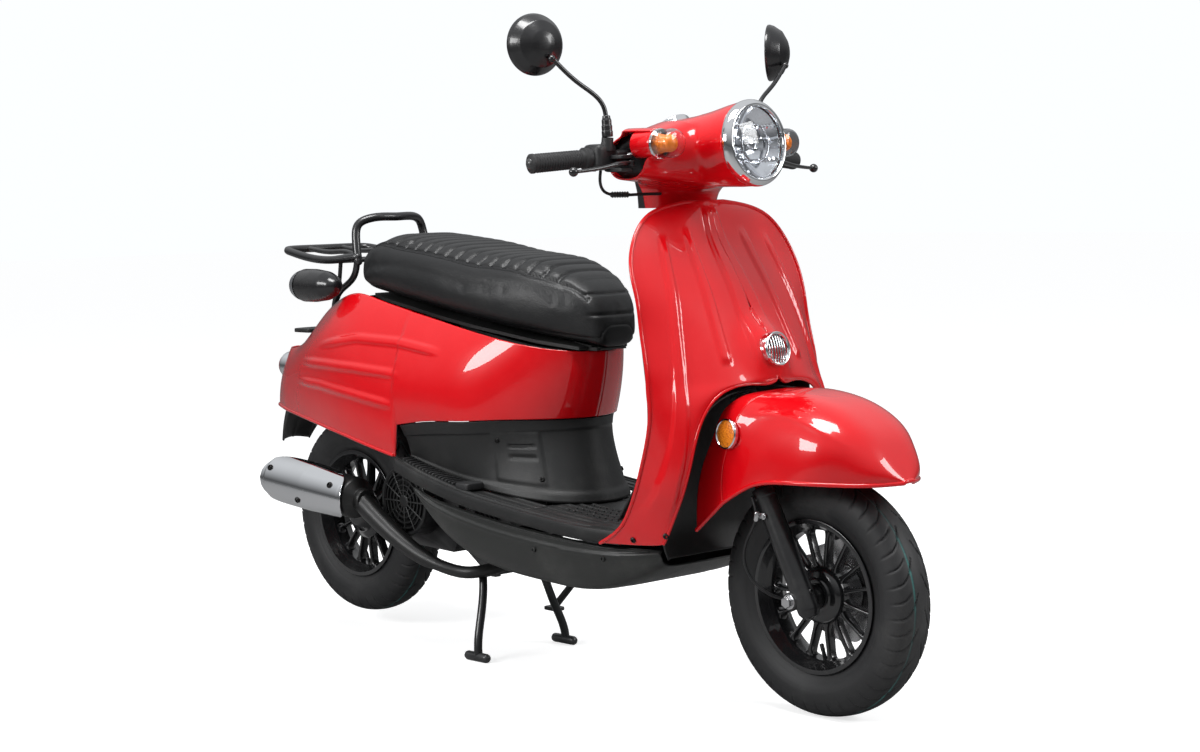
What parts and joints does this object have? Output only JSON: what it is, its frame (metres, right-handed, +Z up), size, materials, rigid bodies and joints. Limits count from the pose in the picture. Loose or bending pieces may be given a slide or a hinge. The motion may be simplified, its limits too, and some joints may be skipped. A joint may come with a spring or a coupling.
{
  "type": "moped scooter",
  "caption": "Retro step-through moped scooter: steel underbone frame, plastic body panels, telescopic fork, swinging engine unit and small wheels, parked on its centre stand.",
  "frame": {"origin": "on the floor under the middle of the scooter's length and width", "axes": "+X forwards, +Y to the rider's left, +Z up; it stands on its front tyre and the centre stand's two feet"},
  "size_m": [1.8444, 0.7212, 1.2555],
  "materials": {
    "red_paint": "gloss",
    "black_plastic": "satin",
    "belly_grey": "satin",
    "black_steel": "gloss",
    "black_alloy": "gloss",
    "cast_alloy": "satin",
    "exhaust_black": "satin",
    "seat_vinyl": "matte",
    "grip_rubber": "matte",
    "tyre_rubber": "matte",
    "chrome": "polished",
    "bright_steel": "satin",
    "clear_lens": "gloss",
    "amber_lens": "gloss",
    "red_lens": "gloss"
  },
  "bodies": {
    "chassis": {"main_frame": "black_steel", "leg_shield": "red_paint", "knee_panel": "black_plastic", "splash_guard": "black_plastic", "horn_grille": "chrome", "floorboard": "black_plastic", "belly_pan": "belly_grey", "side_panel_right": "red_paint", "side_panel_left": "red_paint", "under_seat_cover": "black_plastic", "storage_bucket": "black_plastic", "fuel_tank": "black_plastic", "tail_light": "red_lens", "rear_carrier": "black_steel", "rear_indicator_right": "black_plastic", "rear_indicator_left": "black_plastic", "rear_mudguard": "black_plastic"},
    "seat": {"seat_cushion": "seat_vinyl", "seat_base": "black_plastic"},
    "steering": {"steering_fork": "black_steel", "handlebar": "black_steel", "headlight_cowl": "red_paint", "instrument_cover": "black_plastic", "headlight_rim": "chrome", "headlight_unit": "clear_lens", "front_indicator_right": "amber_lens", "front_indicator_left": "amber_lens", "switch_housing_right": "black_plastic", "switch_housing_left": "black_plastic", "grip_left": "grip_rubber", "front_fender": "red_paint", "throttle_cable": "grip_rubber"},
    "throttle": {"throttle_grip": "grip_rubber"},
    "lever_right": {"brake_lever_right": "black_steel"},
    "lever_left": {"brake_lever_left": "black_steel"},
    "starter_button": {"starter_button": "red_lens"},
    "horn_button": {"horn_button": "black_plastic"},
    "mirror_stem_right": {"mirror_stem_right": "black_steel"},
    "mirror_head_right": {"mirror_head_right": "black_plastic"},
    "mirror_stem_left": {"mirror_stem_left": "black_steel"},
    "mirror_head_left": {"mirror_head_left": "black_plastic"},
    "fork_lowers": {"fork_leg_right": "black_steel", "fork_leg_left": "black_steel", "front_axle": "bright_steel", "brake_caliper": "cast_alloy", "speedo_cable": "grip_rubber"},
    "front_wheel": {"front_rim": "black_alloy", "front_tyre": "tyre_rubber", "front_disc": "bright_steel"},
    "swing_unit": {"engine_case": "cast_alloy", "exhaust": "exhaust_black", "muffler_shield": "chrome"},
    "rear_wheel": {"rear_rim": "black_alloy", "rear_tyre": "tyre_rubber"},
    "kick_lever": {"kick_lever": "bright_steel"},
    "shock_top": {"shock_upper": "black_steel", "shock_spring": "bright_steel"},
    "shock_bottom": {"shock_lower": "black_steel"},
    "centre_stand": {"centre_stand": "black_steel"},
    "side_stand": {"side_stand": "black_steel"}
  },
  "joints": [
    {"name": "steering", "type": "hinge", "parent": "chassis", "child": "steering", "pos_m": [0.4436, 0, 0.69814], "axis": [-0.454, 0, 0.891], "range_deg": [-38, 38]},
    {"name": "front_suspension", "type": "slide", "parent": "steering", "child": "fork_lowers", "axis": [-0.454, 0, 0.891], "range_m": [0, 0.055], "stiffness_N_per_m": 7000, "springref_m": -0.06},
    {"name": "front_wheel_spin", "type": "hinge", "parent": "fork_lowers", "child": "front_wheel", "pos_m": [0.70525, 0, 0.217], "axis": [0, 1, 0], "continuous": true},
    {"name": "swing_arm", "type": "hinge", "parent": "chassis", "child": "swing_unit", "pos_m": [-0.12625, 0, 0.225], "axis": [0, 1, 0], "range_deg": [0, 6.5], "stiffness_Nm_per_rad": 3000, "springref_deg": -2.86},
    {"name": "rear_wheel_spin", "type": "hinge", "parent": "swing_unit", "child": "rear_wheel", "pos_m": [-0.62325, 0, 0.2475], "axis": [0, 1, 0], "continuous": true},
    {"name": "shock_pivot", "type": "hinge", "parent": "chassis", "child": "shock_top", "pos_m": [-0.59625, 0.114, 0.572], "axis": [0, 1, 0], "range_deg": [-1.04, 0]},
    {"name": "shock_slide", "type": "slide", "parent": "shock_top", "child": "shock_bottom", "axis": [0.2405, 0, 0.9707], "range_m": [0, 0.06293], "deforming": ["shock_spring"]},
    {"name": "centre_stand_fold", "type": "hinge", "parent": "swing_unit", "child": "centre_stand", "pos_m": [-0.15125, 0, 0.172], "axis": [0, 1, 0], "range_deg": [0, 78], "stiffness_Nm_per_rad": 6, "springref_deg": -34.38},
    {"name": "side_stand_fold", "type": "hinge", "parent": "chassis", "child": "side_stand", "pos_m": [-0.03125, 0.15, 0.235], "axis": [0, -1, 0], "range_deg": [0, 50], "stiffness_Nm_per_rad": 3, "springref_deg": -28.65},
    {"name": "seat_lid", "type": "hinge", "parent": "chassis", "child": "seat", "pos_m": [0.16375, 0, 0.636], "axis": [0, 1, 0], "range_deg": [0, 70]},
    {"name": "throttle_twist", "type": "hinge", "parent": "steering", "child": "throttle", "pos_m": [0.34539, -0.29, 0.99296], "axis": [-0.2178, -0.9736, -0.0682], "range_deg": [0, 65], "stiffness_Nm_per_rad": 0.3},
    {"name": "brake_lever_right_pull", "type": "hinge", "parent": "steering", "child": "lever_right", "pos_m": [0.41175, -0.176, 0.987], "axis": [0, 0, -1], "range_deg": [0, 14], "stiffness_Nm_per_rad": 4},
    {"name": "brake_lever_left_pull", "type": "hinge", "parent": "steering", "child": "lever_left", "pos_m": [0.41175, 0.176, 0.987], "axis": [0, 0, 1], "range_deg": [0, 14], "stiffness_Nm_per_rad": 4},
    {"name": "starter_button_press", "type": "slide", "parent": "steering", "child": "starter_button", "axis": [1, 0, 0], "range_m": [0, 0.003], "stiffness_N_per_m": 400},
    {"name": "horn_button_press", "type": "slide", "parent": "steering", "child": "horn_button", "axis": [1, 0, 0], "range_m": [0, 0.003], "stiffness_N_per_m": 400},
    {"name": "mirror_stem_right_turn", "type": "hinge", "parent": "steering", "child": "mirror_stem_right", "pos_m": [0.37975, -0.201, 1.05], "axis": [0, 0, 1], "range_deg": [-20, 20]},
    {"name": "mirror_head_right_tilt", "type": "hinge", "parent": "mirror_stem_right", "child": "mirror_head_right", "pos_m": [0.35225, -0.3045, 1.173], "axis": [0, 1, 0], "range_deg": [-12, 12]},
    {"name": "mirror_stem_left_turn", "type": "hinge", "parent": "steering", "child": "mirror_stem_left", "pos_m": [0.37975, 0.201, 1.05], "axis": [0, 0, 1], "range_deg": [-20, 20]},
    {"name": "mirror_head_left_tilt", "type": "hinge", "parent": "mirror_stem_left", "child": "mirror_head_left", "pos_m": [0.35225, 0.3045, 1.173], "axis": [0, 1, 0], "range_deg": [-12, 12]},
    {"name": "kick_start", "type": "hinge", "parent": "swing_unit", "child": "kick_lever", "pos_m": [-0.40625, 0.16, 0.262], "axis": [0, -1, 0], "range_deg": [0, 50], "stiffness_Nm_per_rad": 6, "springref_deg": -22.92}
  ],
  "couplings": [
    {"joint": "shock_pivot", "follows": "swing_arm", "ratio": -0.15315},
    {"joint": "shock_slide", "follows": "swing_arm", "m_per_rad": 0.53855}
  ]
}
